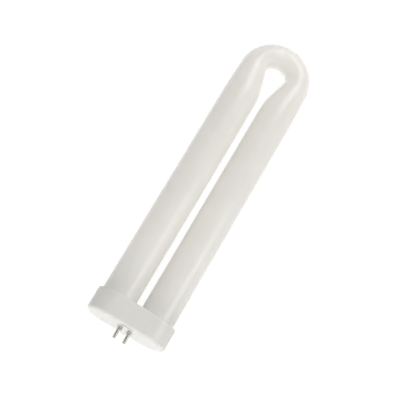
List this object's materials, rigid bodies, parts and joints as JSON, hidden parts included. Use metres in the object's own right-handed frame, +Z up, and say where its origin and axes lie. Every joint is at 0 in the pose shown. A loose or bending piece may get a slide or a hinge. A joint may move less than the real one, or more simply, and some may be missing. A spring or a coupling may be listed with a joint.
{
  "type": "u shaped fluorescent bulb",
  "caption": "U-shaped fluorescent bulb: a white coated glass tube bent double with drawn-in necks at its bend, cemented into an oval moulded base with round contact pins.",
  "frame": {"origin": "centre of the pin pattern, at the face of the pins' collars, where the lamp meets its holder", "axes": "the lamp lies on its side: +X across the two legs, +Y along the lamp from the pins to the bend, +Z up"},
  "size_m": [0.0612, 0.2544, 0.0308],
  "materials": {
    "coated_glass": "gloss glass over a white coating on its inside",
    "moulded_base": "fine satin moulding",
    "pin_metal": "dull plating"
  },
  "bodies": {
    "root": {"glass_tube": "coated_glass", "base_cap": "moulded_base", "contact_pin_upper_left": "pin_metal", "contact_pin_upper_right": "pin_metal", "contact_pin_lower_left": "pin_metal", "contact_pin_lower_right": "pin_metal"}
  },
  "joints": []
}
